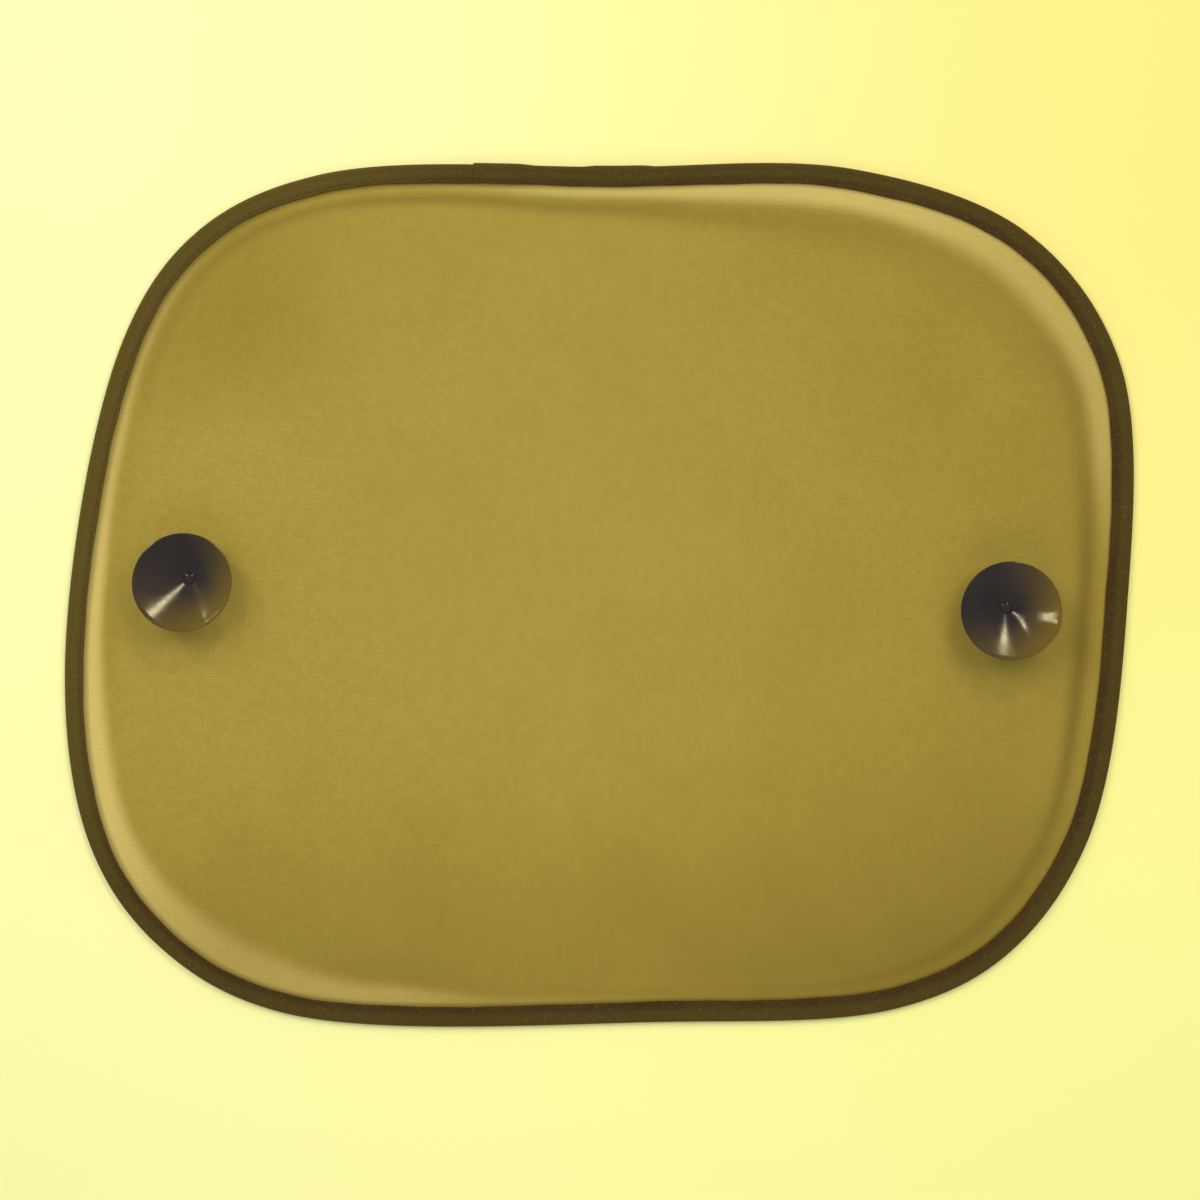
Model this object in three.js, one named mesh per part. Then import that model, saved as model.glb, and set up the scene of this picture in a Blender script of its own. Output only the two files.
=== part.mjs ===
// Car side window sunshade: a mesh panel sprung inside a steel wire hoop, bound with a folded tape,
// with two soft cups whose heads are buttoned through the mesh. Millimetres, +Z up.
// It lies flat with the cups facing up: X is its width and Y its height on the window.
import * as THREE from "three";

// Size over the binding, seen from above
const hoopWidth = 440;
const hoopHeight = 355.5;

// Places that the hoop springs through, anticlockwise from the middle of the right side.
// The line through them is stretched to the size above.
const hoopPlaces = [
  [217, -7], [214, 96], [176, 149], [106, 175],
  [9, 176], [-115, 173], [-165, 150], [-196, 105],
  [-220, -29], [-209, -105], [-180, -146], [-131, -172],
  [26, -176], [124, -170], [168, -148], [201, -101],
];

// Hoop wire, and the crimped sleeve that joins its two ends at the top of the hoop
const wireDiameter = 1.6;
const wireEndGap = 1;
const sleeveX = 8;
const sleeveWall = 0.35;
const sleeveLength = 18;

// Binding tape, folded once round the wire and the edge of the mesh
const tapeThickness = 0.6;
const bindingWidth = 8.5;
const lapStart = 34; // along the hoop from the middle of the sleeve
const lapLength = 26; // how far the tape's last end lies over its first
const lapRamp = 7; // the stretch in which it climbs onto the first end
const cutEnd = 0.3; // the steep stretch at its cut end
const flapEase = 1.7; // where the flaps lie flat again, in loop radii from the wire
const liftReach = 70; // how far the hoop takes to come back down from its thick places

// Mesh panel
const meshThickness = 0.4;
const meshEdgeGap = 0.45; // between the sleeve and the mesh's edge inside the binding
const meshSlope = 11; // width of the slope from the binding down to the flat of the panel
const meshHeight = 0.9; // middle of the cloth over the flat of the panel
const tentRadius = 24; // where the mesh starts to rise to a cup's neck

// Suction cups
const cupDiameter = 40;
const cupDepth = 9.5; // of the hollow
const cupFlare = 0.15; // how much the wall opens out towards the lip, 0 for a plain cone
const lipThickness = 0.7;
const lipLand = 1; // width of the flat ring that meets the glass
const wallAtBoss = 1.5;
const bossDiameter = 11.2;
const apexWall = 2.4; // solid between the hollow and the neck
const neckDiameter = 6;
const headDiameter = 10;
const headHeight = 2.8;
const headFlat = 4.4; // diameter of the flat under the head
const headRound = 2.2; // height of the head's rounded edge
const leftCupInset = 49; // from the hoop's outer edge to the cup's axis
const leftCupY = 5;
const rightCupInset = 50.6;
const rightCupY = -6.5;

// Clearances
const looseGap = 0.3; // between cloth, tape and cups
const snugGap = 0.2; // round the wire and round the sleeve

// Fineness of the faces
const fineSteps = 1600;
const stationTurn = THREE.MathUtils.degToRad(5);
const stationSpacing = 24;
const wireSides = 8;
const sleeveSides = 12;
const cupSides = 40;
const tentSides = 32;
const stationClear = 2; // no other ring corner this near to a change of section

const wireRadius = wireDiameter / 2;
const sleeveOuterRadius = wireRadius + snugGap + sleeveWall;
const wireInset = tapeThickness + snugGap + wireRadius;
const flapInside = meshThickness / 2 + looseGap;
const meshEdgeInset = wireInset + sleeveOuterRadius + meshEdgeGap;
const seatHeight = headHeight + looseGap + meshThickness / 2;

// The hoop as a dense closed line of points with their inward normals and distances along it.
// Distance starts at the middle of the sleeve and runs anticlockwise.
function hoopRail() {
  const places = hoopPlaces.map(([x, y]) => new THREE.Vector3(x, y, 0));
  const curve = new THREE.CatmullRomCurve3(places, true, "centripetal");
  curve.arcLengthDivisions = fineSteps;
  const points = curve.getSpacedPoints(fineSteps).slice(0, fineSteps);
  const box = new THREE.Box3().setFromPoints(points);
  const size = box.getSize(new THREE.Vector3());
  const middle = box.getCenter(new THREE.Vector3());
  for (const p of points) {
    p.sub(middle);
    p.x *= hoopWidth / size.x;
    p.y *= hoopHeight / size.y;
  }
  let start = 0;
  points.forEach((p, i) => {
    const nearer = Math.abs(p.x - sleeveX) < Math.abs(points[start].x - sleeveX);
    if (p.y > 0 && (points[start].y < 0 || nearer)) start = i;
  });
  const line = [...points.slice(start), ...points.slice(0, start + 1)];
  let along = 0;
  return line.map((p, i) => {
    if (i > 0) along += p.distanceTo(line[i - 1]);
    const before = line[(i - 1 + fineSteps) % fineSteps];
    const after = line[(i + 1) % fineSteps];
    const normal = new THREE.Vector3(before.y - after.y, after.x - before.x, 0).normalize();
    return { point: p, normal, along };
  });
}

const rail = hoopRail();
const railLength = rail[fineSteps].along;

// Point and inward normal at a distance along the hoop
function railAt(along) {
  const distance = THREE.MathUtils.euclideanModulo(along, railLength);
  let i = 1;
  while (i < fineSteps && rail[i].along < distance) i += 1;
  const from = rail[i - 1];
  const to = rail[i];
  const share = (distance - from.along) / (to.along - from.along);
  const normal = from.normal.clone().lerp(to.normal, share).normalize();
  return { point: from.point.clone().lerp(to.point, share), normal };
}

// Distances at which every ring of the hoop has its corners: close together on the bends,
// and at each place where a section changes
function ringStations() {
  const halfSleeve = sleeveLength / 2;
  const lapEnd = lapStart + lapLength;
  const marks = [
    halfSleeve - cutEnd, halfSleeve + cutEnd,
    lapStart, lapStart + lapRamp, lapEnd - cutEnd, lapEnd,
    railLength - halfSleeve - cutEnd, railLength - halfSleeve + cutEnd,
    wireEndGap / 2, railLength - wireEndGap / 2,
  ];
  const stations = [...marks];
  let turned = 0;
  let last = 0;
  for (let i = 1; i < fineSteps; i += 1) {
    turned += Math.abs(rail[i].normal.angleTo(rail[i - 1].normal));
    const due = turned >= stationTurn || rail[i].along - last >= stationSpacing;
    if (!due) continue;
    turned = 0;
    last = rail[i].along;
    if (marks.every((mark) => Math.abs(mark - last) > stationClear)) stations.push(last);
  }
  return stations.sort((a, b) => a - b);
}

const stations = ringStations();

// Signed distance from the middle of the sleeve, the short way round
function fromSleeve(along) {
  return along > railLength / 2 ? along - railLength : along;
}

// Radius of what the tape is folded round
function coreRadius(along) {
  const onSleeve = Math.abs(fromSleeve(along)) < sleeveLength / 2;
  return onSleeve ? sleeveOuterRadius : wireRadius;
}

// Thickness of tape: double where its last end lies over its first
function tapeLayers(along) {
  const into = along - lapStart;
  if (into <= 0 || into >= lapLength) return tapeThickness;
  return tapeThickness * (1 + Math.min(1, into / lapRamp));
}

// Height of the hoop's middle plane. The underside of its thick places rests at 0.
function hoopHeightAt(along) {
  const thickest = Math.max(sleeveOuterRadius - wireRadius, tapeThickness);
  const near = THREE.MathUtils.clamp(fromSleeve(along), -sleeveLength, lapStart + lapLength);
  const away = Math.abs(fromSleeve(along) - near);
  return wireInset + thickest * (1 - THREE.MathUtils.smoothstep(away, 0, liftReach));
}

// A point of a ring: inset from the binding's outer edge, and above the hoop's middle plane
function ringPoint(along, inset, above) {
  const { point, normal } = railAt(along);
  const lifted = hoopHeightAt(along) + above;
  return new THREE.Vector3(point.x + normal.x * inset, point.y + normal.y * inset, lifted);
}

// A closed surface from rows of points. Each row is a loop. The rows join up end to end, or each
// end is filled in, fanned from its middle.
function skin(rows, joined) {
  const count = rows[0].length;
  const points = rows.flat();
  const index = [];
  const last = joined ? rows.length : rows.length - 1;
  for (let r = 0; r < last; r += 1) {
    const next = (r + 1) % rows.length;
    for (let c = 0; c < count; c += 1) {
      const d = (c + 1) % count;
      const corners = [r * count + c, r * count + d, next * count + c, next * count + d];
      index.push(corners[0], corners[1], corners[2], corners[1], corners[3], corners[2]);
    }
  }
  if (!joined) {
    for (const r of [0, rows.length - 1]) {
      const middle = rows[r].reduce((sum, p) => sum.add(p), new THREE.Vector3());
      points.push(middle.divideScalar(count));
      for (let c = 0; c < count; c += 1) {
        const edge = [r * count + c, r * count + ((c + 1) % count)];
        if (r === 0) edge.reverse();
        index.push(points.length - 1, ...edge);
      }
    }
  }
  return facesOf(points, index);
}

function facesOf(points, index) {
  const geometry = new THREE.BufferGeometry().setFromPoints(points);
  geometry.setIndex(index);
  geometry.computeVertexNormals();
  return geometry;
}

// Section of the folded tape as [inset, above] pairs: along the top flap to the wire, round it,
// back along the bottom flap, and the same way back inside
function tapeSection(along) {
  const inner = coreRadius(along) + snugGap;
  const tape = tapeLayers(along);
  const outer = inner + tape;
  const flapOutside = flapInside + tape;
  const round = (radius, angle) => [
    wireInset + radius * Math.cos(angle),
    radius * Math.sin(angle),
  ];
  const outsideSteps = 6;
  const insideSteps = 6;
  const leave = THREE.MathUtils.degToRad(60);
  const mouth = Math.asin(flapInside / inner);
  const fullTurn = 2 * Math.PI;
  const outside = [
    [bindingWidth, flapOutside],
    [wireInset + outer * flapEase, flapOutside],
  ];
  for (let i = 0; i <= outsideSteps; i += 1) {
    outside.push(round(outer, leave + ((fullTurn - 2 * leave) * i) / outsideSteps));
  }
  outside.push([wireInset + outer * flapEase, -flapOutside], [bindingWidth, -flapOutside]);
  const inside = [[bindingWidth, -flapInside]];
  for (let i = 0; i <= insideSteps; i += 1) {
    inside.push(round(inner, fullTurn - mouth - ((fullTurn - 2 * mouth) * i) / insideSteps));
  }
  inside.push([bindingWidth, flapInside]);
  return [...outside, ...inside];
}

function rimBinding() {
  const rows = stations.map((along) =>
    tapeSection(along).map(([inset, above]) => ringPoint(along, inset, above)),
  );
  return skin(rows, true);
}

// A ring of points round the wire's line
function roundLoop(along, radius, sides) {
  return Array.from({ length: sides }, (_, i) => {
    const angle = (2 * Math.PI * i) / sides;
    return ringPoint(along, wireInset + radius * Math.cos(angle), radius * Math.sin(angle));
  });
}

// The wire goes once round, and its two ends face each other in the middle of the sleeve.
function hoopWire() {
  const rows = stations.map((along) => roundLoop(along, wireRadius, wireSides));
  return skin(rows, false);
}

function wireSleeve() {
  const half = sleeveLength / 2 - cutEnd;
  const inner = wireRadius + snugGap;
  const spans = stations
    .map(fromSleeve)
    .filter((along) => Math.abs(along) <= half + cutEnd / 2)
    .sort((a, b) => a - b);
  const outside = spans.map((along) => roundLoop(along, sleeveOuterRadius, sleeveSides));
  const inside = spans.reverse().map((along) => roundLoop(along, inner, sleeveSides));
  return skin([...outside, ...inside], true);
}

// Where a cup stands: inset from the hoop's outer edge, on the left or the right
function cupPlace(side, inset, y) {
  const reach = rail.filter(({ point }) => point.x * side > 0);
  const nearest = reach.reduce((best, here) =>
    Math.abs(here.point.y - y) < Math.abs(best.point.y - y) ? here : best,
  );
  return new THREE.Vector2(nearest.point.x - side * inset, y);
}

const cupPlaces = {
  left: cupPlace(-1, leftCupInset, leftCupY),
  right: cupPlace(1, rightCupInset, rightCupY),
};

// Cloth of even thickness from its upper surface: the same faces turned over below it, and walls
// along every free edge
function cloth(points, faces, thickness) {
  const count = points.length;
  const below = points.map((p) => p.clone().setZ(p.z - thickness));
  const index = [...faces];
  const used = new Set();
  for (let f = 0; f < faces.length; f += 3) {
    const [a, b, c] = faces.slice(f, f + 3);
    index.push(a + count, c + count, b + count);
    for (const [from, to] of [[a, b], [b, c], [c, a]]) used.add(`${from},${to}`);
  }
  for (const edge of used) {
    const [from, to] = edge.split(",").map(Number);
    if (used.has(`${to},${from}`)) continue;
    index.push(from, from + count, to, to, from + count, to + count);
  }
  return facesOf([...points, ...below], index);
}

// Faces of a band between two loops of points, given by where each loop starts
function band(outerStart, innerStart, count) {
  const faces = [];
  for (let i = 0; i < count; i += 1) {
    const j = (i + 1) % count;
    faces.push(outerStart + i, outerStart + j, innerStart + i);
    faces.push(outerStart + j, innerStart + j, innerStart + i);
  }
  return faces;
}

// The panel leaves the binding at the hoop's middle plane, slopes down to its flat, and rises like
// a small tent to the neck of each cup, where it has a round hole.
function meshPanel() {
  const points = [];
  const faces = [];
  const top = meshThickness / 2;
  const slopeStart = bindingWidth + looseGap;
  const insets = [meshEdgeInset, slopeStart];
  for (const share of [0.25, 0.5, 0.75, 1]) insets.push(slopeStart + meshSlope * share);
  insets.forEach((inset, row) => {
    const down = THREE.MathUtils.smoothstep(inset, slopeStart, slopeStart + meshSlope);
    for (const along of stations) {
      const p = ringPoint(along, inset, top);
      p.z = THREE.MathUtils.lerp(p.z, meshHeight + top, down);
      points.push(p);
    }
    const here = row * stations.length;
    if (row > 0) faces.push(...band(here - stations.length, here, stations.length));
  });
  const flatStart = points.length - stations.length;
  const holeRadius = neckDiameter / 2 + looseGap;
  const seatRadius = bossDiameter / 2 + looseGap;
  const tentStarts = [];
  for (const place of Object.values(cupPlaces)) {
    tentStarts.push(points.length);
    for (const share of [1, 0.75, 0.5, 0.25, 0]) {
      const radius = seatRadius + (tentRadius - seatRadius) * share;
      const rise = 1 - THREE.MathUtils.smoothstep(share, 0, 1);
      const height = THREE.MathUtils.lerp(meshHeight, seatHeight, rise) + top;
      points.push(...circle(place, radius, height));
    }
    points.push(...circle(place, holeRadius, seatHeight + top));
    for (let row = 0; row < 5; row += 1) {
      const outer = tentStarts.at(-1) + row * tentSides;
      faces.push(...band(outer, outer + tentSides, tentSides));
    }
  }
  const flat = (start, count) => points.slice(start, start + count);
  const contour = flat(flatStart, stations.length);
  const holes = tentStarts.map((start) => flat(start, tentSides).reverse());
  const numbers = contour.map((_, i) => flatStart + i);
  for (const start of tentStarts) {
    for (let i = tentSides - 1; i >= 0; i -= 1) numbers.push(start + i);
  }
  for (const face of THREE.ShapeUtils.triangulateShape(contour, holes)) {
    faces.push(...face.map((i) => numbers[i]));
  }
  return cloth(points, faces, meshThickness);
}

function circle(place, radius, height) {
  return Array.from({ length: tentSides }, (_, i) => {
    const angle = (2 * Math.PI * i) / tentSides;
    const x = place.x + radius * Math.cos(angle);
    const y = place.y + radius * Math.sin(angle);
    return new THREE.Vector3(x, y, height);
  });
}

// A cup turned about its axis: flat-bottomed head, neck, boss, a wall that thins to a flat lip,
// and a conical hollow that flares a little
function suctionCup() {
  const cupRadius = cupDiameter / 2;
  const headRadius = headDiameter / 2;
  const neckRadius = neckDiameter / 2;
  const bossRadius = bossDiameter / 2;
  const neckTop = headHeight + meshThickness + 2 * looseGap;
  const apex = neckTop + apexWall;
  const hollowRadius = cupRadius - lipLand;
  const inside = (r) => {
    const share = r / hollowRadius;
    return apex + cupDepth * share * (1 + cupFlare * (1 - share));
  };
  const outside = (r) => {
    const thinning = THREE.MathUtils.mapLinear(r, bossRadius, cupRadius, wallAtBoss, lipThickness);
    return inside(Math.min(r, hollowRadius)) - thinning;
  };
  const profile = [
    [0, 0],
    [headFlat / 2, 0],
  ];
  const headSteps = 4;
  for (let i = 1; i <= headSteps; i += 1) {
    const angle = (Math.PI / 2) * (i / headSteps);
    profile.push([
      headFlat / 2 + (headRadius - headFlat / 2) * Math.sin(angle),
      headRound * (1 - Math.cos(angle)),
    ]);
  }
  profile.push([headRadius, headHeight], [neckRadius, headHeight], [neckRadius, neckTop]);
  const wallSteps = 6;
  profile.push([bossRadius, neckTop]);
  for (let i = 0; i < wallSteps; i += 1) {
    const r = THREE.MathUtils.lerp(bossRadius, cupRadius, i / wallSteps);
    profile.push([r, outside(r)]);
  }
  profile.push([cupRadius, apex + cupDepth - lipThickness], [cupRadius, apex + cupDepth]);
  for (let i = wallSteps; i > 0; i -= 1) {
    const r = (hollowRadius * i) / wallSteps;
    profile.push([r, inside(r)]);
  }
  profile.push([0, apex]);
  const outline = profile.map(([r, z]) => new THREE.Vector2(r, z));
  return new THREE.LatheGeometry(outline, cupSides).rotateX(Math.PI / 2);
}

const looks = {
  mesh: new THREE.MeshStandardMaterial({ color: "#a4903f", roughness: 0.9, side: THREE.DoubleSide }),
  tape: new THREE.MeshStandardMaterial({ color: "#4a3a14", roughness: 0.85 }),
  steel: new THREE.MeshStandardMaterial({ color: "#8f9195", roughness: 0.35, metalness: 1 }),
  tin: new THREE.MeshStandardMaterial({ color: "#a9abae", roughness: 0.4, metalness: 1 }),
  cup: new THREE.MeshStandardMaterial({ color: "#2b2623", roughness: 0.15 }),
};

const sunshade = new THREE.Group();

function add(name, geometry, look) {
  const mesh = new THREE.Mesh(geometry, look);
  mesh.name = name;
  sunshade.add(mesh);
  return mesh;
}

add("mesh_panel", meshPanel(), looks.mesh);
add("rim_binding", rimBinding(), looks.tape);
add("hoop_wire", hoopWire(), looks.steel);
add("wire_sleeve", wireSleeve(), looks.tin);
for (const [side, place] of Object.entries(cupPlaces)) {
  add(`suction_cup_${side}`, suctionCup(), looks.cup).position.set(place.x, place.y, 0);
}

// The tape's lap stands proud of the hoop's line, so the part is centred on its own middle.
const middle = new THREE.Box3().setFromObject(sunshade).getCenter(new THREE.Vector3());
sunshade.position.set(-middle.x, -middle.y, 0);

export default sunshade;
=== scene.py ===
import math

import bmesh
import bpy
import numpy as np
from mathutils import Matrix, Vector


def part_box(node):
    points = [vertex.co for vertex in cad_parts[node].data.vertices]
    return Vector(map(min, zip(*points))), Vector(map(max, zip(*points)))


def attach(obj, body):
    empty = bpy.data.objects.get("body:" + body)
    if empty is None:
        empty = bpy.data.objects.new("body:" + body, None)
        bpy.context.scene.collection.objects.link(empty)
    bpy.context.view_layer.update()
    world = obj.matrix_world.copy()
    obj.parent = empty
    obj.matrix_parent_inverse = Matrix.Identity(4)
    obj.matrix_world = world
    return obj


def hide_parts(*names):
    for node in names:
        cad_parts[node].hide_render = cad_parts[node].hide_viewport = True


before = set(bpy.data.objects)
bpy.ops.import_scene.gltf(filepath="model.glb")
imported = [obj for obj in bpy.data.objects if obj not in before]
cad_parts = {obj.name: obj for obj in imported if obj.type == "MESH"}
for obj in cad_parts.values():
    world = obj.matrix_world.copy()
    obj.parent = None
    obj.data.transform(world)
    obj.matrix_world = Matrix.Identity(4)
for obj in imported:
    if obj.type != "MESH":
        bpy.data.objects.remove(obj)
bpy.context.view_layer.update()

MM = 0.001

# The hoop's outline and section, as in the part's source
HOOP_WIDTH = 440 * MM
HOOP_HEIGHT = 355.5 * MM
HOOP_PLACES = [
    (217, -7), (214, 96), (176, 149), (106, 175),
    (9, 176), (-115, 173), (-165, 150), (-196, 105),
    (-220, -29), (-209, -105), (-180, -146), (-131, -172),
    (26, -176), (124, -170), (168, -148), (201, -101),
]
WIRE_RADIUS = 0.8 * MM
SLEEVE_RADIUS = 1.35 * MM
SLEEVE_LENGTH = 18 * MM
SLEEVE_X = 8 * MM
SNUG_GAP = 0.2 * MM
TAPE = 0.6 * MM
BINDING_WIDTH = 8.5 * MM
WIRE_INSET = TAPE + SNUG_GAP + WIRE_RADIUS
LAP_START = 34 * MM
LAP_LENGTH = 26 * MM
LAP_RAMP = 7 * MM
LIFT_REACH = 70 * MM
FLAP_INSIDE = 0.5 * MM

# The cloth
RING_STEP = 1.7 * MM
CLOTH = 0.36 * MM
CLOTH_HEIGHT = 0.9 * MM
CLOTH_EDGE = 3.6 * MM
SEAT_HEIGHT = 3.3 * MM
SEAT_RADIUS = 5.9 * MM
HOLE_RADIUS = 3.3 * MM
TENT_RADIUS = 27 * MM
DIM_CORNER = (-0.165, 0.135, 0)

# The cups
CUP_RADIUS = 20 * MM
LIP_THICKNESS = 0.7 * MM
LIP_LAND = 1 * MM
CUP_DEPTH = 9.5 * MM
PIP_RADIUS = 2.4 * MM
PIP_HEIGHT = 0.9 * MM
BOSS_WALL = 1.5 * MM
BOSS_RADIUS = 5.6 * MM
NECK_RADIUS = 3 * MM
NECK_TOP = 3.8 * MM
APEX_WALL = 2.4 * MM
HEAD_RADIUS = 5 * MM
HEAD_HEIGHT = 2.8 * MM
HEAD_FLAT = 2.2 * MM
HEAD_ROUND = 2.2 * MM

# The camera looks straight down. Its frame is this wide at the height of the hoop.
CAMERA_HEIGHT = 0.75
FRAME_WIDTH = 494 * MM
FRAME_CENTRE = (0.26 * MM, -2.12 * MM)
SENSOR = 36.0


def smooth(x, low, high):
    share = np.clip((x - low) / (high - low), 0, 1)
    return share * share * (3 - 2 * share)


def spline_points(places, steps):
    """Closed centripetal Catmull-Rom line through places."""
    rows = []
    count = len(places)
    for i in range(count):
        p0, p1, p2, p3 = (places[(i + k) % count] for k in (-1, 0, 1, 2))
        d0, d1, d2 = (math.sqrt(np.linalg.norm(b - a)) for a, b in ((p0, p1), (p1, p2), (p2, p3)))
        start = d1 * ((p1 - p0) / d0 - (p2 - p0) / (d0 + d1) + (p2 - p1) / d1)
        end = d1 * ((p2 - p1) / d1 - (p3 - p1) / (d1 + d2) + (p3 - p2) / d2)
        t = np.linspace(0, 1, steps, endpoint=False)[:, None]
        rows.append(
            p1 + start * t
            + (3 * (p2 - p1) - 2 * start - end) * t**2
            + (2 * (p1 - p2) + start + end) * t**3
        )
    return np.vstack(rows)


class Rail:
    """The hoop's outer line: points and inward normals by distance from the middle of the sleeve."""

    def __init__(self):
        line = spline_points(np.array(HOOP_PLACES, float) * MM, 120)
        low, high = line.min(0), line.max(0)
        line = (line - (low + high) / 2) * (HOOP_WIDTH, HOOP_HEIGHT) / (high - low)
        top = np.where(line[:, 1] > 0, np.abs(line[:, 0] - SLEEVE_X), 1)
        line = np.roll(line, -int(np.argmin(top)), axis=0)
        step = np.roll(line, -1, axis=0) - np.roll(line, 1, axis=0)
        normal = np.stack([-step[:, 1], step[:, 0]], 1)
        normal /= np.linalg.norm(normal, axis=1)[:, None]
        self.line = np.vstack([line, line[:1]])
        self.normal = np.vstack([normal, normal[:1]])
        gaps = np.linalg.norm(np.diff(self.line, axis=0), axis=1)
        self.along = np.concatenate([[0], np.cumsum(gaps)])
        self.length = self.along[-1]

    def at(self, along):
        along = np.mod(along, self.length)
        point = np.stack([np.interp(along, self.along, self.line[:, k]) for k in (0, 1)], -1)
        normal = np.stack([np.interp(along, self.along, self.normal[:, k]) for k in (0, 1)], -1)
        return point, normal / np.linalg.norm(normal, axis=-1, keepdims=True)


RAIL = Rail()


def from_sleeve(along):
    along = np.mod(along, RAIL.length)
    return np.where(along > RAIL.length / 2, along - RAIL.length, along)


def hoop_height(along):
    """Height of the hoop's middle plane, lifted where the sleeve and the tape's lap lie under it."""
    near = np.clip(from_sleeve(along), -SLEEVE_LENGTH, LAP_START + LAP_LENGTH)
    away = np.abs(from_sleeve(along) - near)
    return WIRE_INSET + TAPE * (1 - smooth(away, 0, LIFT_REACH))


def ring_points(along, inset, above):
    """Points at an inset from the outer line and a height over the hoop's middle plane."""
    point, normal = RAIL.at(along)
    flat = point + normal * np.asarray(inset)[..., None]
    return np.concatenate([flat, (hoop_height(along) + above)[..., None]], -1)


def make_object(name, points, faces, uvs=None, material=None):
    mesh = bpy.data.meshes.new(name)
    mesh.from_pydata([tuple(p) for p in points], [], [tuple(f) for f in faces])
    mesh.update()
    if uvs is not None:
        layer = mesh.uv_layers.new(name="weave")
        layer.data.foreach_set("uv", np.asarray(uvs, np.float32).ravel())
    mesh.polygons.foreach_set("use_smooth", [True] * len(mesh.polygons))
    piece = bpy.data.objects.new(name, mesh)
    bpy.context.scene.collection.objects.link(piece)
    if material:
        mesh.materials.append(material)
    return piece


def grid_faces(rows, columns, join_rows, join_columns):
    """Quads of a grid, its rows and columns closed on themselves where asked."""
    r = np.arange(rows if join_rows else rows - 1)
    c = np.arange(columns if join_columns else columns - 1)
    r, c = np.meshgrid(r, c, indexing="ij")
    r, c = r.ravel(), c.ravel()
    s, d = (r + 1) % rows, (c + 1) % columns
    faces = np.stack([r * columns + c, r * columns + d, s * columns + d, s * columns + c], 1)
    return faces, r, c


# Materials


class Paint:
    """Short calls for building one node material."""

    def __init__(self, name, colour, roughness, **shader):
        self.material = bpy.data.materials.new(name)
        self.material.use_nodes = True
        self.tree = self.material.node_tree
        self.shader = self.tree.nodes["Principled BSDF"]
        self.shader.inputs["Base Color"].default_value = (*colour, 1)
        self.shader.inputs["Roughness"].default_value = roughness
        for socket, value in shader.items():
            self.shader.inputs[socket.replace("_", " ")].default_value = value

    def node(self, kind, **values):
        made = self.tree.nodes.new("ShaderNode" + kind)
        for key, value in values.items():
            setattr(made, key, value)
        return made

    def put(self, socket, value):
        if hasattr(value, "is_output"):
            self.tree.links.new(value, socket)
        else:
            socket.default_value = value

    def maths(self, operation, a, b=0.0, c=0.0):
        made = self.node("Math", operation=operation)
        for socket, value in zip(made.inputs, (a, b, c)):
            self.put(socket, value)
        return made.outputs[0]

    def noise(self, vector, scale, detail=2.0, rough=0.5):
        made = self.node("TexNoise")
        self.put(made.inputs["Vector"], vector)
        self.put(made.inputs["Scale"], scale)
        self.put(made.inputs["Detail"], detail)
        self.put(made.inputs["Roughness"], rough)
        return made.outputs["Fac"]

    def ramp(self, value, low, high, out_low=0.0, out_high=1.0):
        made = self.node("MapRange", interpolation_type="SMOOTHSTEP")
        for key, put in (("Value", value), ("From Min", low), ("From Max", high),
                         ("To Min", out_low), ("To Max", out_high)):
            self.put(made.inputs[key], put)
        return made.outputs["Result"]

    def mix(self, share, a, b, blend="MIX"):
        made = self.node("Mix", data_type="RGBA", blend_type=blend)
        self.put(made.inputs[0], share)
        for socket, value in ((made.inputs[6], a), (made.inputs[7], b)):
            self.put(socket, (*value, 1) if isinstance(value, tuple) and len(value) == 3 else value)
        return made.outputs[2]

    def bump(self, height, strength, distance):
        made = self.node("Bump")
        self.put(made.inputs["Height"], height)
        self.put(made.inputs["Strength"], strength)
        self.put(made.inputs["Distance"], distance)
        self.put(self.shader.inputs["Normal"], made.outputs[0])

    def place(self):
        return self.node("TexCoord").outputs["Object"]

    def uv(self, axis):
        split = self.node("SeparateXYZ")
        self.put(split.inputs[0], self.node("UVMap", uv_map="weave").outputs[0])
        return split.outputs[axis]

    def attribute(self, name):
        return self.node("Attribute", attribute_name=name).outputs["Fac"]


def linear(*colour):
    """Linear values of a colour given as 0 to 255."""
    return tuple(((v / 255 + 0.055) / 1.055) ** 2.4 if v > 10 else v / 255 / 12.92 for v in colour)


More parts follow.
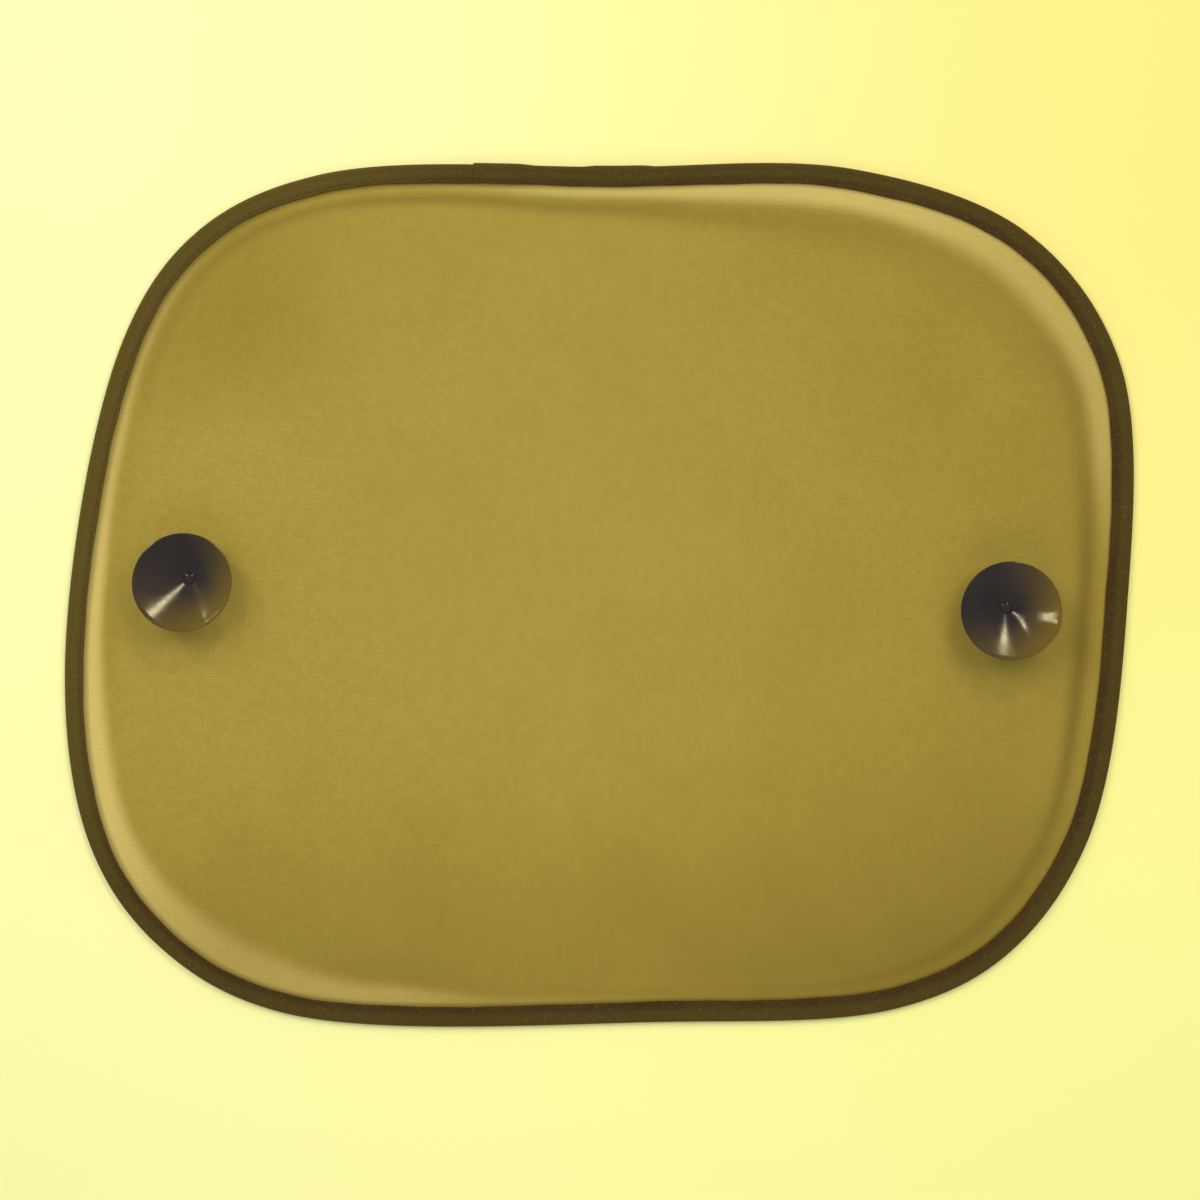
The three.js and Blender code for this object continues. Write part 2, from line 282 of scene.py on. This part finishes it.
def cloth_material():
    """Fine knitted mesh: rows of small open cells, matt thread, slightly uneven in tone, with painted
    shade towards the right, the bottom and the top edge, and painted light and painted shade just inside
    the binding.
    """
    paint = Paint("mesh_cloth", linear(166, 145, 60), 0.88, Sheen_Weight=0.12, Sheen_Roughness=0.5,
                  Specular_IOR_Level=0.2)
    cell = 0.8 * MM
    split = paint.node("SeparateXYZ")
    place = paint.place()
    paint.put(split.inputs[0], place)
    across = paint.maths("SINE", paint.maths("MULTIPLY", split.outputs[0], 2 * math.pi / cell))
    up = paint.maths("SINE", paint.maths("MULTIPLY", split.outputs[1], 2 * math.pi / cell / 1.3))
    weave = paint.maths("MULTIPLY", across, up)
    thread = paint.ramp(weave, -0.9, 0.9)
    # Painted shade: the cloth is darker towards the right, the bottom and the top edge, standing in for
    # light that falls unevenly over it; it is also darker round the top-left corner, and cloudy at random.
    right = paint.ramp(split.outputs[0], -0.03, 0.24, 0.0, 0.32)
    low = paint.ramp(split.outputs[1], -0.04, -0.18, 0.0, 0.46)
    cloudy = paint.ramp(paint.noise(place, 17.0, 3.0, 0.55), 0.3, 0.7, -0.05, 0.05)
    high = paint.ramp(split.outputs[1], 0.0, 0.16, 0.0, 0.10)
    away = paint.node("VectorMath", operation="DISTANCE")
    paint.put(away.inputs[0], place)
    paint.put(away.inputs[1], DIM_CORNER)
    corner = paint.ramp(away.outputs["Value"], 0.02, 0.085, 0.24, 0.0)
    shade = right
    for part in (low, high, corner, cloudy):
        shade = paint.maths("ADD", shade, part)
    tone = paint.mix(shade, linear(176, 155, 67), linear(120, 100, 23))
    streaks = paint.noise(place, 320.0, 2.0)
    tone = paint.mix(paint.ramp(streaks, 0.35, 0.65, 0.0, 0.14), tone, linear(140, 118, 40))
    # Painted light on the slope inside the binding, then painted shade in a soft line beyond it and where
    # the cloth goes in under the tape.
    tone = paint.mix(paint.attribute("painted_rim_light"), tone, linear(232, 208, 126))
    tone = paint.mix(paint.attribute("painted_rim_shade"), tone, linear(104, 86, 28))
    tone = paint.mix(paint.ramp(weave, -0.2, 1.0, 0.0, 0.3), tone, linear(112, 93, 30))
    paint.put(paint.shader.inputs["Base Color"], tone)
    holes = paint.ramp(weave, 0.72, 0.9, 1.0, 0.25)
    paint.put(paint.shader.inputs["Alpha"], holes)
    paint.bump(thread, 0.35, 0.15 * MM)
    return paint.material


def tape_material():
    """Woven binding tape: ribs across its length, a little fluff, painted shade along the top flap's inner
    edge and painted light towards the upper left.
    """
    paint = Paint("binding_tape", linear(78, 61, 20), 0.8, Sheen_Weight=0.12, Sheen_Roughness=0.4,
                  Specular_IOR_Level=0.25)
    rib = 0.75 * MM
    along = paint.uv(0)
    across = paint.uv(1)
    ribs = paint.maths("SINE", paint.maths("MULTIPLY", along, 2 * math.pi / rib))
    warp = paint.maths("SINE", paint.maths("MULTIPLY", across, 2 * math.pi / (0.45 * MM)))
    weave = paint.maths("ADD", ribs, paint.maths("MULTIPLY", warp, 0.5))
    place = paint.place()
    cloudy = paint.noise(place, 30.0, 3.0)
    # Painted shade: darker along the top flap's inner edge.
    edge = paint.ramp(across, 1.2 * MM, 3.2 * MM)
    tone = paint.mix(edge, linear(66, 45, 10), linear(79, 64, 19))
    tone = paint.mix(paint.ramp(cloudy, 0.3, 0.7, 0.0, 0.3), tone, linear(92, 73, 25))
    # Painted light: lighter towards the upper left, where more light falls.
    toward = paint.node("VectorMath", operation="DOT_PRODUCT")
    paint.put(toward.inputs[0], place)
    paint.put(toward.inputs[1], (-0.9, 0.45, 0))
    painted_light_side = paint.ramp(toward.outputs["Value"], 0.1, 0.2, 0.0, 0.36)
    tone = paint.mix(painted_light_side, tone, linear(122, 106, 38))
    tone = paint.mix(paint.ramp(weave, -1.2, 1.2, 0.0, 0.4), tone, linear(50, 38, 12))
    fluff = paint.noise(place, 900.0, 2.0)
    tone = paint.mix(paint.ramp(fluff, 0.55, 0.75, 0.0, 0.25), tone, linear(126, 106, 42))
    paint.put(paint.shader.inputs["Base Color"], tone)
    paint.bump(weave, 0.4, 0.12 * MM)
    return paint.material


def thread_material():
    paint = Paint("sewing_thread", linear(62, 48, 18), 0.6, Specular_IOR_Level=0.4)
    twist = paint.maths("SINE", paint.maths("MULTIPLY", paint.uv(0), 2 * math.pi / (0.25 * MM)))
    tone = paint.mix(paint.ramp(twist, -1, 1), linear(50, 38, 13), linear(88, 72, 32))
    paint.put(paint.shader.inputs["Base Color"], tone)
    paint.bump(twist, 0.3, 0.05 * MM)
    return paint.material


def cup_material():
    """Soft smoke-tinted PVC: glossy and nearly black where thick, with painted light making one side
    olive-brown and clearer where light comes through.
    """
    paint = Paint("smoke_pvc", linear(40, 34, 30), 0.2, Specular_IOR_Level=0.5)
    place = paint.place()
    cloud = paint.noise(place, 60.0, 2.0)
    lit = paint.attribute("lit")
    tone = paint.mix(paint.ramp(cloud, 0.3, 0.7), linear(24, 16, 20), linear(38, 30, 22))
    tone = paint.mix(lit, tone, linear(114, 90, 20))
    paint.put(paint.shader.inputs["Base Color"], tone)
    smears = paint.noise(place, 220.0, 3.0)
    paint.put(paint.shader.inputs["Roughness"], paint.ramp(smears, 0.3, 0.8, 0.14, 0.26))
    paint.put(paint.shader.inputs["Alpha"], paint.ramp(lit, 0.0, 1.0, 1.0, 0.8))
    paint.bump(paint.noise(place, 130.0, 2.0), 0.12, 0.3 * MM)
    return paint.material


def steel_material():
    paint = Paint("spring_steel", (0.52, 0.53, 0.55), 0.32, Metallic=1.0)
    marks = paint.noise(paint.place(), 1500.0, 3.0)
    paint.put(paint.shader.inputs["Roughness"], paint.ramp(marks, 0.3, 0.7, 0.24, 0.45))
    tone = paint.mix(paint.ramp(marks, 0.4, 0.8), (0.42, 0.43, 0.45), (0.62, 0.63, 0.64))
    paint.put(paint.shader.inputs["Base Color"], tone)
    paint.bump(marks, 0.15, 0.02 * MM)
    return paint.material


def sleeve_material():
    paint = Paint("sleeve_metal", (0.66, 0.67, 0.68), 0.38, Metallic=1.0)
    marks = paint.noise(paint.place(), 700.0, 3.0)
    paint.put(paint.shader.inputs["Roughness"], paint.ramp(marks, 0.3, 0.7, 0.3, 0.5))
    tone = paint.mix(paint.ramp(marks, 0.4, 0.8), (0.55, 0.56, 0.57), (0.74, 0.75, 0.76))
    paint.put(paint.shader.inputs["Base Color"], tone)
    paint.bump(marks, 0.2, 0.03 * MM)
    return paint.material


# Pieces


def tape_section(inner, tape, steps_round, steps_flap):
    """Section of the folded tape for each place along it, as insets and heights over the middle
    plane: over the top flap, round the wire, back along the bottom flap, and back inside."""
    outer = inner + tape
    flap_outside = FLAP_INSIDE + tape
    leave = math.radians(52)
    ease = WIRE_INSET + outer * 1.9
    insets, heights = [], []

    def add(inset, height):
        insets.append(inset + 0 * inner)
        heights.append(height + 0 * inner)

    rise_inset = WIRE_INSET + outer * math.cos(leave)
    rise_height = outer * math.sin(leave)
    for t in np.linspace(0, 1, steps_flap):
        add(BINDING_WIDTH + (ease - BINDING_WIDTH) * t, flap_outside)
    for t in (0.25, 0.5, 0.75):
        add(ease + (rise_inset - ease) * t, flap_outside + (rise_height - flap_outside) * smooth(t, 0, 1))
    for angle in np.linspace(leave, 2 * math.pi - leave, steps_round):
        add(WIRE_INSET + outer * math.cos(angle), outer * math.sin(angle))
    for t in (0.75, 0.5, 0.25):
        add(ease + (rise_inset - ease) * t, -flap_outside - (rise_height - flap_outside) * smooth(t, 0, 1))
    for t in np.linspace(1, 0, steps_flap):
        add(BINDING_WIDTH + (ease - BINDING_WIDTH) * t, -flap_outside)
    add(BINDING_WIDTH + 0.12 * MM, -(flap_outside + FLAP_INSIDE) / 2)
    add(BINDING_WIDTH, -FLAP_INSIDE)
    mouth = np.arcsin(FLAP_INSIDE / inner)
    for t in np.linspace(0, 1, steps_round):
        angle = 2 * math.pi - mouth - (2 * math.pi - 2 * mouth) * t
        add(WIRE_INSET + inner * np.cos(angle), inner * np.sin(angle))
    add(BINDING_WIDTH, FLAP_INSIDE)
    add(BINDING_WIDTH + 0.12 * MM, (flap_outside + FLAP_INSIDE) / 2)
    return np.array(insets).T, np.array(heights).T


STITCH_INSET = 6.3 * MM
STITCH_PITCH = 3.1 * MM


def waver(along, *waves):
    """A slow closed ripple round the hoop: waves are (turns round the hoop, size, phase)."""
    turn = 2 * math.pi * along / RAIL.length
    return sum(size * np.sin(count * turn + phase) for count, size, phase in waves)


# How far the sleeve is felt along the tape: in full as far as the first place, not past the second
SLEEVE_FELT = (9 * MM, 16 * MM)

# The flaps are a little wider on one side of the hoop: by how much, in which direction, and the
# change of their mean width
WIDER_BY = 0.8 * MM
WIDER_AT = math.radians(-15)
WIDTH_CHANGE = -0.25 * MM


def woven_binding():
    """The folded tape, its last end lying over its first, drawn in a little by each stitch."""
    lap_end = LAP_START + LAP_LENGTH
    even = np.linspace(0, RAIL.length, 1100, endpoint=False)
    even = even[np.abs(even - lap_end) > 0.8 * MM]
    along = np.sort(np.concatenate([even, lap_end + np.array([-0.5, -0.25, 0.0, 0.15]) * MM]))
    sleeve = 1 - smooth(np.abs(from_sleeve(along)), *SLEEVE_FELT)
    inner = WIRE_RADIUS + SNUG_GAP + (SLEEVE_RADIUS - WIRE_RADIUS) * sleeve
    into = along - LAP_START
    layers = 1 + np.clip(into / LAP_RAMP, 0, 1) * (into < LAP_LENGTH)
    layers = np.where((into > LAP_LENGTH - 0.2 * MM) & (into < LAP_LENGTH), 1.85, layers)
    insets, heights = tape_section(inner, TAPE * layers, 18, 9)
    side = np.sign(heights)
    free = smooth(insets, 4.5 * MM, BINDING_WIDTH)
    outline = RAIL.at(along)[0]
    direction = np.arctan2(outline[:, 1], outline[:, 0])
    edge = waver(along, (23, 0.12 * MM, 0.4), (61, 0.07 * MM, 1.9))
    edge = edge + WIDTH_CHANGE + WIDER_BY * np.cos(direction - WIDER_AT)
    insets = insets + free * edge[:, None]
    outside = np.abs(heights) > FLAP_INSIDE * 1.3
    near = np.exp(-(((insets - STITCH_INSET) / (0.7 * MM)) ** 2)) * outside
    pull = 0.10 * MM + 0.05 * MM * np.cos(2 * math.pi * along / STITCH_PITCH)
    heights = heights - side * near * pull[:, None]
    points = ring_points(along[:, None] + 0 * insets, insets, heights)
    count, corners = insets.shape
    faces, r, c = grid_faces(count, corners, True, True)
    path = np.concatenate([[0], np.cumsum(np.hypot(np.diff(insets[0]), np.diff(heights[0])))])
    path = np.append(path, path[-1] + 0.4 * MM)
    run = np.append(along, RAIL.length)
    uvs = np.stack([
        np.stack([run[r], path[c]], -1), np.stack([run[r], path[c + 1]], -1),
        np.stack([run[r + 1], path[c + 1]], -1), np.stack([run[r + 1], path[c]], -1),
    ], 1)
    piece = make_object("woven_binding", points.reshape(-1, 3), faces, uvs, tape_material())
    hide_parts("rim_binding")
    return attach(piece, "root")


def binding_thread():
    """Stitches along both flaps: short rounded lengths of thread that dip in at each hole."""
    count = int(RAIL.length / STITCH_PITCH)
    starts = np.arange(count) * (RAIL.length / count)
    steps, sides, radius = 5, 6, 0.17 * MM
    points, faces, runs = [], [], []
    for side in (1, -1):
        for start in starts:
            t = np.linspace(0, 1, steps)
            along = start + t * 0.78 * STITCH_PITCH
            arch = np.sin(math.pi * t)
            flap = FLAP_INSIDE + TAPE * (1 + np.clip((along - LAP_START) / LAP_RAMP, 0, 1)
                                         * (along < LAP_START + LAP_LENGTH))
            height = side * (flap - 0.16 * MM + arch * 0.13 * MM)
            thick = radius * (0.45 + 0.55 * arch)
            turn = np.linspace(0, 2 * math.pi, sides, endpoint=False)[None, :]
            inset = STITCH_INSET + thick[:, None] * np.cos(turn)
            above = height[:, None] + thick[:, None] * np.sin(turn)
            base = len(points)
            points.extend(ring_points(along[:, None] + 0 * inset, inset, above).reshape(-1, 3))
            runs.extend(np.repeat(along, sides))
            faces.extend((grid_faces(steps, sides, False, True)[0] + base).tolist())
            faces.append([base + k for k in reversed(range(sides))])
            faces.append([base + (steps - 1) * sides + k for k in range(sides)])
    piece = make_object("binding_thread", points, faces, None, None)
    layer = piece.data.uv_layers.new(name="weave")
    run = np.array(runs)[[loop.vertex_index for loop in piece.data.loops]]
    layer.data.foreach_set("uv", np.stack([run, run * 0], 1).astype(np.float32).ravel())
    piece.data.materials.append(thread_material())
    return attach(piece, "root")


def cup_place(node):
    low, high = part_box(node)
    return np.array([(low.x + high.x) / 2, (low.y + high.y) / 2])


# How each soft cup is bent: its wall's flare, its lean in degrees towards +X and +Y, how far in
# millimetres the middle of its hollow is pulled towards +X and +Y, and its dents as height in
# millimetres, azimuth in degrees, and reach and spread in hollow radii
CUP_BENDS = {
    "left": {
        "flare": 0.0, "lean": (-2.25, -6.0), "pull": (1.5, 2.0),
        "dents": [(-0.33, -60, 0.95, 0.12)],
    },
    "right": {
        "flare": 0.18, "lean": (5.2, -1.4), "pull": (-0.45, 1.5),
        "dents": [(2.09, -19.5, 1.04, 0.22), (1.61, -26.5, 0.62, 0.19)],
    },
}

# Direction in degrees of the side of each cup that light comes through, where painted light makes it
# lighter and clearer
LIT_SIDE = {"left": -50, "right": -30}

CUPS = {side: cup_place(f"suction_cup_{side}") for side in ("left", "right")}

# Strength of the painted shade on the cloth where it goes in under the tape
TAPE_SHADE = 0.5

# How the cloth looks just inside the binding, by direction from the middle in degrees: width of the slope,
# the strength of the painted light on it, how far in the soft line of painted shade beyond it lies, and
# the strength of that shade
RIM_LOOK = [
    (0, 4, 0.00, 9, 0.62),
    (20, 9.5, 0.40, 12.5, 0.30),
    (35, 13, 0.42, 19, 0.12),
    (58, 8.5, 0.64, 16, 0.25),
    (90, 4, 0.52, 8.5, 0.42),
    (115, 3, 0.05, 5.5, 0.45),
    (135, 3, 0.00, 5, 0.32),
    (150, 3, 0.22, 6.5, 0.15),
    (165, 4, 0.45, 8, 0.12),
    (180, 5.5, 0.72, 10, 0.12),
    (200, 8.5, 0.74, 12, 0.03),
    (225, 13, 0.30, 17, 0.00),
    (240, 8, 0.34, 14, 0.10),
    (258, 3.5, 0.10, 5, 0.10),
    (285, 3, 0.00, 4, 0.12),
    (330, 4, 0.00, 8, 0.42),
    (345, 4, 0.00, 9, 0.60),
]


def rim_look(x, y):
    """Slope width, strength of the painted light on it, and the painted shade line's reach and strength in
    the direction of each point.
    """
    angle = np.degrees(np.arctan2(y, x)) % 360
    table = np.array(RIM_LOOK + [(360, *RIM_LOOK[0][1:])])
    low = np.searchsorted(table[:, 0], angle, side="right") - 1
    share = (angle - table[low, 0]) / (table[low + 1, 0] - table[low, 0])
    share = (share * share * (3 - 2 * share))[:, None]
    row = table[low, 1:] * (1 - share) + table[low + 1, 1:] * share
    return row[:, 0] * MM, row[:, 1], row[:, 2] * MM, row[:, 3]


def cloth_height(x, y, inset, hoop):
    """Height of the cloth's middle: level with the hoop under the binding, a slope down to its flat,
    slack ripples there, and a small tent round each cup's neck."""
    width = rim_look(x, y)[0]
    down = smooth(inset, BINDING_WIDTH, BINDING_WIDTH + width + 7 * MM)
    ripple = 0.16 * MM * (
        np.sin(x / 0.031 + 1.1 * np.sin(y / 0.052)) * np.cos(y / 0.043 - 0.7)
        + 0.6 * np.sin((x + 1.7 * y) / 0.019)
    )
    height = hoop + (CLOTH_HEIGHT + ripple * down - hoop) * down
    for place in CUPS.values():
        away = np.hypot(x - place[0], y - place[1])
        turn = np.arctan2(y - place[1], x - place[0])
        pleat = 1 + 0.12 * np.cos(5 * turn + 0.8) * smooth(away, SEAT_RADIUS, 14 * MM)
        near = 1 - smooth(away, SEAT_RADIUS, TENT_RADIUS * pleat)
        height = height + (SEAT_HEIGHT - height) * near
    return height


def mesh_cloth():
    """The mesh: rings that follow the hoop near it and close in on the middle, a round hole at
    each cup, and an even thickness."""
    count = 480
    along = np.linspace(0, RAIL.length, count, endpoint=False)
    hidden = np.linspace(CLOTH_EDGE, BINDING_WIDTH, 4)
    insets = np.concatenate([hidden, BINDING_WIDTH + np.arange(1, 13) * RING_STEP])
    rows, depth = [], []
    for inset in insets:
        rows.append(ring_points(along, np.full(count, inset), np.zeros(count)))
        depth.append(np.full(count, inset))
    last = rows[-1]
    rings = 46
    for k in range(1, rings):
        share = 1 - k / rings
        row = last * share
        row[:, 2] = last[:, 2]
        rows.append(row)
        depth.append(np.full(count, insets[-1] + (1 - share) * 0.1))
    points = np.vstack(rows)
    depth = np.concatenate(depth)
    x, y = points[:, 0], points[:, 1]
    hoop = np.tile(hoop_height(along), len(rows))
    points[:, 2] = cloth_height(x, y, depth, hoop)
    centre = np.array([[0, 0, CLOTH_HEIGHT]])
    faces = grid_faces(len(rows), count, False, True)[0].tolist()
    tip = len(points)
    first = (len(rows) - 1) * count
    faces += [(first + k, first + (k + 1) % count, tip) for k in range(count)]
    points = np.vstack([points, centre])
    piece = make_object("mesh_cloth", points, faces, None, None)
    # Painted light and painted shade just inside the binding, kept as point attributes.
    width, painted_rim_light, line, painted_rim_shade = rim_look(points[:, 0], points[:, 1])
    reach = np.append(depth, 1.0) - BINDING_WIDTH
    painted_rim_light = painted_rim_light * (1 - smooth(reach, width * 0.55, width * 1.35))
    painted_rim_shade = painted_rim_shade * np.exp(-(((reach - line) / (0.4 * line)) ** 2))
    painted_rim_shade = np.maximum(painted_rim_shade, TAPE_SHADE * (1 - smooth(reach, 0, RING_STEP)))
    for name, values in (("painted_rim_light", painted_rim_light), ("painted_rim_shade", painted_rim_shade)):
        layer = piece.data.attributes.new(name, "FLOAT", "POINT")
        layer.data.foreach_set("value", values.astype(np.float32))
    modifier = piece.modifiers.new("thickness", "SOLIDIFY")
    modifier.thickness = CLOTH
    modifier.offset = 0.0
    cutters = []
    for side, place in CUPS.items():
        bpy.ops.mesh.primitive_cylinder_add(
            vertices=64, radius=HOLE_RADIUS, depth=8 * MM, location=(*place, SEAT_HEIGHT)
        )
        cutter = bpy.context.object
        cutters.append(cutter)
        cut = piece.modifiers.new("hole_" + side, "BOOLEAN")
        cut.operation = "DIFFERENCE"
        cut.solver = "EXACT"
        cut.object = cutter
    apply_modifiers(piece)
    for cutter in cutters:
        bpy.data.objects.remove(cutter, do_unlink=True)
    drop_slivers(piece)
    piece.data.materials.clear()
    piece.data.materials.append(cloth_material())
    piece.data.polygons.foreach_set("material_index", [0] * len(piece.data.polygons))
    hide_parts("mesh_panel")
    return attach(piece, "root")


def apply_modifiers(piece):
    graph = bpy.context.evaluated_depsgraph_get()
    graph.update()
    made = bpy.data.meshes.new_from_object(piece.evaluated_get(graph), preserve_all_data_layers=True,
                                           depsgraph=graph)
    piece.modifiers.clear()
    piece.data = made


def drop_slivers(piece):
    """Closes up the faces of almost no area that cutting the holes leaves."""
    work = bmesh.new()
    work.from_mesh(piece.data)
    bmesh.ops.triangulate(work, faces=work.faces)
    bmesh.ops.dissolve_degenerate(work, edges=work.edges, dist=0.02 * MM)
    bmesh.ops.triangulate(work, faces=work.faces)
    work.to_mesh(piece.data)
    work.free()


def cup_profile(flare):
    """The cup's turned outline from the middle of its head round its lip to the hollow's middle."""
    radius = CUP_RADIUS
    apex = NECK_TOP + APEX_WALL
    hollow = radius - LIP_LAND

    def inside(r):
        share = r / hollow
        return apex + CUP_DEPTH * share * (1 + flare * (1 - share))

    def outside(r):
        share = (r - BOSS_RADIUS) / (radius - BOSS_RADIUS)
        return inside(min(r, hollow)) - (BOSS_WALL + (LIP_THICKNESS - BOSS_WALL) * share)

    line = [(0, 0), (HEAD_FLAT * 0.5, 0), (HEAD_FLAT, 0)]
    for angle in np.linspace(0, math.pi / 2, 9)[1:]:
        out = HEAD_FLAT + (HEAD_RADIUS - HEAD_FLAT) * math.sin(angle)
        line.append((out, HEAD_ROUND * (1 - math.cos(angle))))
    soft = 0.3 * MM
    line += [(HEAD_RADIUS, HEAD_HEIGHT - soft), (HEAD_RADIUS - soft, HEAD_HEIGHT)]
    line += [(NECK_RADIUS + soft, HEAD_HEIGHT), (NECK_RADIUS, HEAD_HEIGHT + soft)]
    line += [(NECK_RADIUS, NECK_TOP - soft), (NECK_RADIUS + soft, NECK_TOP)]
    line += [(BOSS_RADIUS - soft, NECK_TOP), (BOSS_RADIUS, NECK_TOP + soft)]
    for r in np.linspace(BOSS_RADIUS, radius, 15)[:-1]:
        line.append((r, outside(r)))
    top = apex + CUP_DEPTH
    line += [(radius - 0.1 * MM, top - LIP_THICKNESS), (radius, top - 0.5 * LIP_THICKNESS)]
    line += [(radius - 0.05 * MM, top - 0.1 * MM), (radius - 0.15 * MM, top), (hollow + 0.15 * MM, top)]
    for r in np.linspace(hollow, PIP_RADIUS, 26):
        line.append((r, inside(r)))
    for angle in np.linspace(0.2, math.pi / 2, 5):
        line.append((PIP_RADIUS * math.cos(angle), inside(PIP_RADIUS) + PIP_HEIGHT * math.sin(angle)))
    return np.array(line)


def cup_bend(side, x, y):
    """How far a cup's soft wall is bent up at a place measured from its axis."""
    bend = CUP_BENDS[side]
    hollow = CUP_RADIUS - LIP_LAND
    share = np.hypot(x, y) / hollow
    rise = x * math.tan(math.radians(bend["lean"][0])) + y * math.tan(math.radians(bend["lean"][1]))
    for height, azimuth, reach, spread in bend["dents"]:
        a = math.radians(azimuth)
        away = np.hypot(x - reach * hollow * math.cos(a), y - reach * hollow * math.sin(a))
        rise = rise + height * MM * share * np.exp(-0.5 * (away / (spread * hollow)) ** 2)
    return rise


def soft_cup(side):
    """One cup, turned from its profile, its soft wall leaning and dented a little."""
    node = f"suction_cup_{side}"
    line = cup_profile(CUP_BENDS[side]["flare"])
    sides = 144
    turn = np.linspace(0, 2 * math.pi, sides, endpoint=False)
    r, z = line[1:-1, 0], line[1:-1, 1]
    place = CUPS[side]
    x, y = r[:, None] * np.cos(turn), r[:, None] * np.sin(turn)
    free = smooth(z, NECK_TOP, NECK_TOP + 2 * MM)[:, None]
    height = z[:, None] + free * cup_bend(side, x, y)
    hollow = np.arange(len(r)) > np.argmax(z)
    pull = (hollow * (1 - r / r.max()))[:, None] * MM
    x = x + pull * CUP_BENDS[side]["pull"][0]
    y = y + pull * CUP_BENDS[side]["pull"][1]
    points = np.stack([place[0] + x, place[1] + y, height], -1)
    tip = place + np.array(CUP_BENDS[side]["pull"]) * MM
    ends = np.array([[*place, line[0, 1]], [*tip, line[-1, 1]]])
    faces = grid_faces(len(r), sides, False, True)[0].tolist()
    low_tip, high_tip = len(r) * sides, len(r) * sides + 1
    last = (len(r) - 1) * sides
    for k in range(sides):
        d = (k + 1) % sides
        faces.append((low_tip, d, k))
        faces.append((last + k, last + d, high_tip))
    points = np.vstack([points.reshape(-1, 3), ends])
    piece = make_object(f"cup_{side}", points, faces, None, None)
    # Painted light: the thin wall turns lighter and clearer on the side towards LIT_SIDE.
    thin = smooth(r, 4 * MM, CUP_RADIUS) * (z > NECK_TOP)
    lit = thin[:, None] * (0.5 + 0.5 * np.cos(turn - math.radians(LIT_SIDE[side]))) ** 1.5
    layer = piece.data.attributes.new("lit", "FLOAT", "POINT")
    layer.data.foreach_set("value", np.append(lit.ravel(), [0, 0]).astype(np.float32))
    piece.data.materials.append(cup_material())
    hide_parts(node)
    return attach(piece, "root")


def dress_metal():
    for name, material in (("hoop_wire", steel_material()), ("wire_sleeve", sleeve_material())):
        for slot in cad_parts[name].material_slots:
            slot.material = material


# Stage


def floor():
    bpy.ops.mesh.primitive_plane_add(size=6, location=(0, 0, -0.05 * MM))
    plane = bpy.context.object
    plane.name = "floor"
    paint = Paint("floor_paper", linear(254, 252, 168), 0.95, Specular_IOR_Level=0.0)
    split = paint.node("SeparateXYZ")
    paint.put(split.inputs[0], paint.place())
    side = paint.ramp(split.outputs[0], -0.22, 0.25)
    up = paint.ramp(split.outputs[1], -0.2, 0.2)
    near = paint.mix(side, linear(255, 255, 177), linear(255, 253, 160))
    far = paint.mix(side, linear(254, 253, 186), linear(254, 235, 139))
    paint.put(paint.shader.inputs["Base Color"], paint.mix(up, near, far))
    plane.data.materials.append(paint.material)


def lamp(name, azimuth, elevation, distance, size, strength, colour=(1, 1, 1), seen=False):
    a, e = math.radians(azimuth), math.radians(elevation)
    light = bpy.data.lights.new(name, "AREA")
    light.shape = "DISK"
    light.size = size
    light.energy = strength
    light.color = colour
    made = bpy.data.objects.new(name, light)
    way = Vector((math.cos(a) * math.cos(e), math.sin(a) * math.cos(e), math.sin(e)))
    made.location = way * distance
    made.rotation_euler = (-way).to_track_quat("-Z", "Y").to_euler()
    made.visible_glossy = seen
    bpy.context.scene.collection.objects.link(made)


def lights():
    """An even room, three broad soft lamps, and two small ones that the cups mirror as streaks."""
    for side, azimuth in (("left", 142), ("right", 38)):
        lamp("soft_" + side, azimuth, 56, 1.0, 0.45, 2.36)
    lamp("soft_front", 270, 40, 1.1, 0.6, 1.55)
    lamp("streak_left", 135.7, 36.7, 2.2, 0.33, 5.0, (1.0, 0.90, 0.52), seen=True)
    lamp("streak_right", 69.8, 41.1, 2.2, 0.33, 6.6, (1.0, 0.90, 0.52), seen=True)
    world = bpy.data.worlds.new("room")
    bpy.context.scene.world = world
    world.use_nodes = True
    world.node_tree.nodes["Background"].inputs["Color"].default_value = (1, 1, 1, 1)
    world.node_tree.nodes["Background"].inputs["Strength"].default_value = 0.45


def camera():
    data = bpy.data.cameras.new("camera")
    data.sensor_width = SENSOR
    data.lens = SENSOR * CAMERA_HEIGHT / FRAME_WIDTH
    data.clip_start = 0.01
    made = bpy.data.objects.new("camera", data)
    made.location = (*FRAME_CENTRE, CAMERA_HEIGHT + WIRE_INSET)
    bpy.context.scene.collection.objects.link(made)
    bpy.context.scene.camera = made


camera()
cloth = mesh_cloth()
binding = woven_binding()
binding_thread()
for side in CUPS:
    soft_cup(side)
dress_metal()
floor()
lights()

bpy.context.scene.view_settings.view_transform = "Standard"
